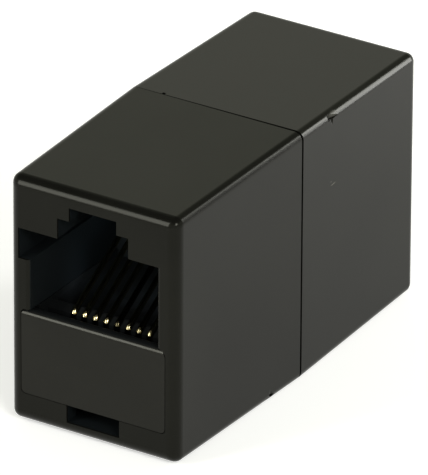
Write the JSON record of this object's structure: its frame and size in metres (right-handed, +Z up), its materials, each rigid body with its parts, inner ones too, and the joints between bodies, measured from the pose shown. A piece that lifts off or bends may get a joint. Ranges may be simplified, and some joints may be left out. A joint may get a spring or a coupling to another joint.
{
  "type": "rj45 inline coupler",
  "caption": "Black two-shell inline coupler that joins two modular-plug network cables end to end, with a stepped jack opening at each end and gold wire contacts inside.",
  "frame": {"origin": "centre of the body, in the plane of the seam between the two shells", "axes": "+Y along the coupler from the front jack to the rear jack, +Z up through the front jack's latch side, +X to the right seen from the front jack"},
  "size_m": [0.0162, 0.0364, 0.022],
  "materials": {
    "shell_plastic": "satin black moulded plastic with a fine texture",
    "carrier_plastic": "satin black moulded plastic",
    "contact_gold": "bright gold-plated wire"
  },
  "bodies": {
    "root": {"front_shell": "shell_plastic", "rear_shell": "shell_plastic", "front_carrier": "carrier_plastic", "rear_carrier": "carrier_plastic", "contact_wire_1": "contact_gold", "contact_wire_2": "contact_gold", "contact_wire_3": "contact_gold", "contact_wire_4": "contact_gold", "contact_wire_5": "contact_gold", "contact_wire_6": "contact_gold", "contact_wire_7": "contact_gold", "contact_wire_8": "contact_gold"}
  },
  "joints": []
}
